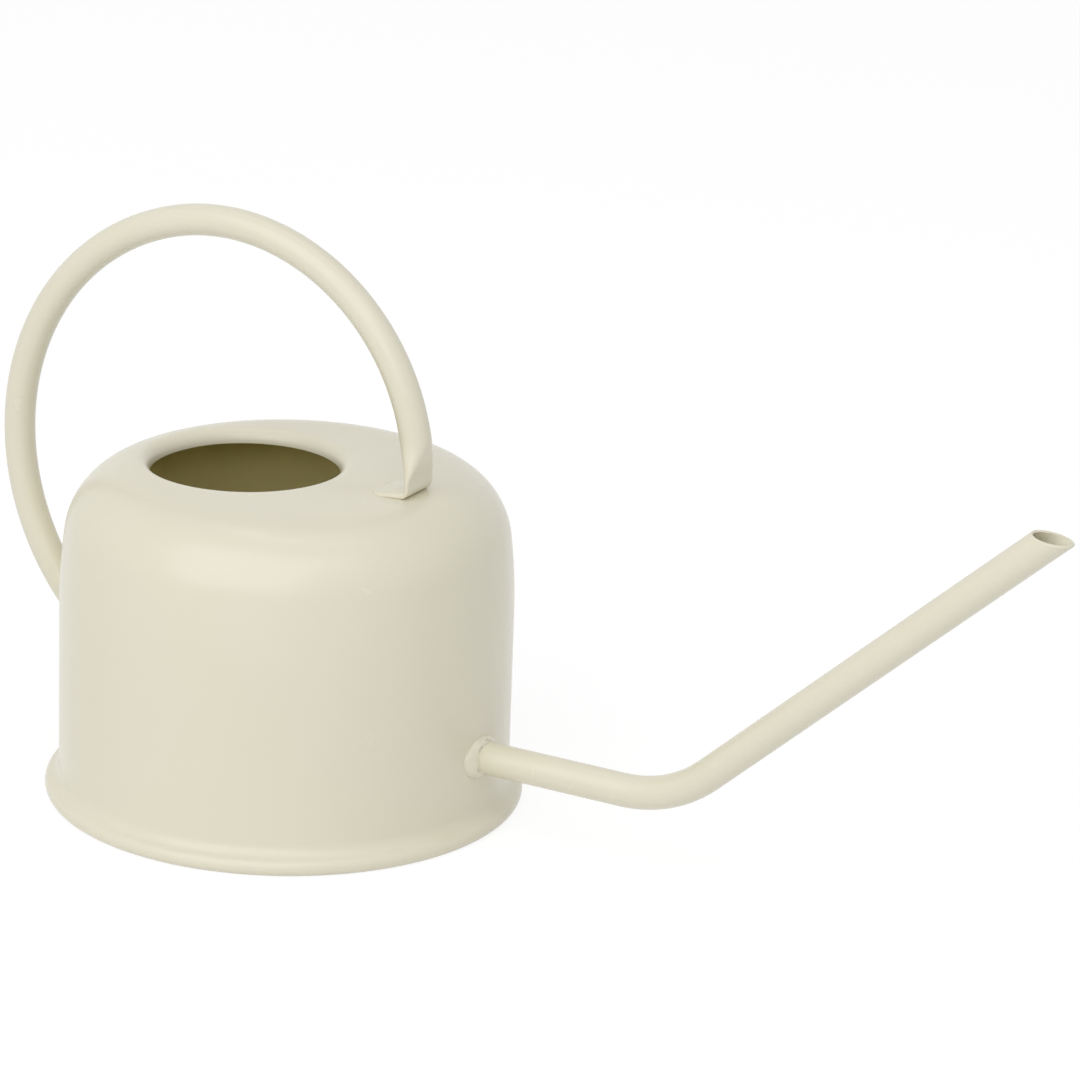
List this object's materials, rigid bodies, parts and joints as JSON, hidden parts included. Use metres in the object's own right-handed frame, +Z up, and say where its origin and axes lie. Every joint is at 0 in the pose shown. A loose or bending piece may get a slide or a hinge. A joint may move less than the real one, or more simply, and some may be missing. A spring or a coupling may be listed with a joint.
{
  "type": "watering can",
  "caption": "Bell-shaped indoor watering can of painted sheet steel, with a hoop handle of tube and a long, thin, bent spout.",
  "frame": {"origin": "centre of the foot, at the level of the ground", "axes": "+Z up, +X the way the spout points, +Y to the left of the spout"},
  "size_m": [0.3362, 0.1378, 0.1698],
  "materials": {
    "cream_paint": "satin powder coat, pale cream"
  },
  "bodies": {
    "root": {"body_shell": "cream_paint", "base_plate": "cream_paint", "spout_tube": "cream_paint", "spout_weld": "cream_paint", "handle_tube": "cream_paint"}
  },
  "joints": []
}
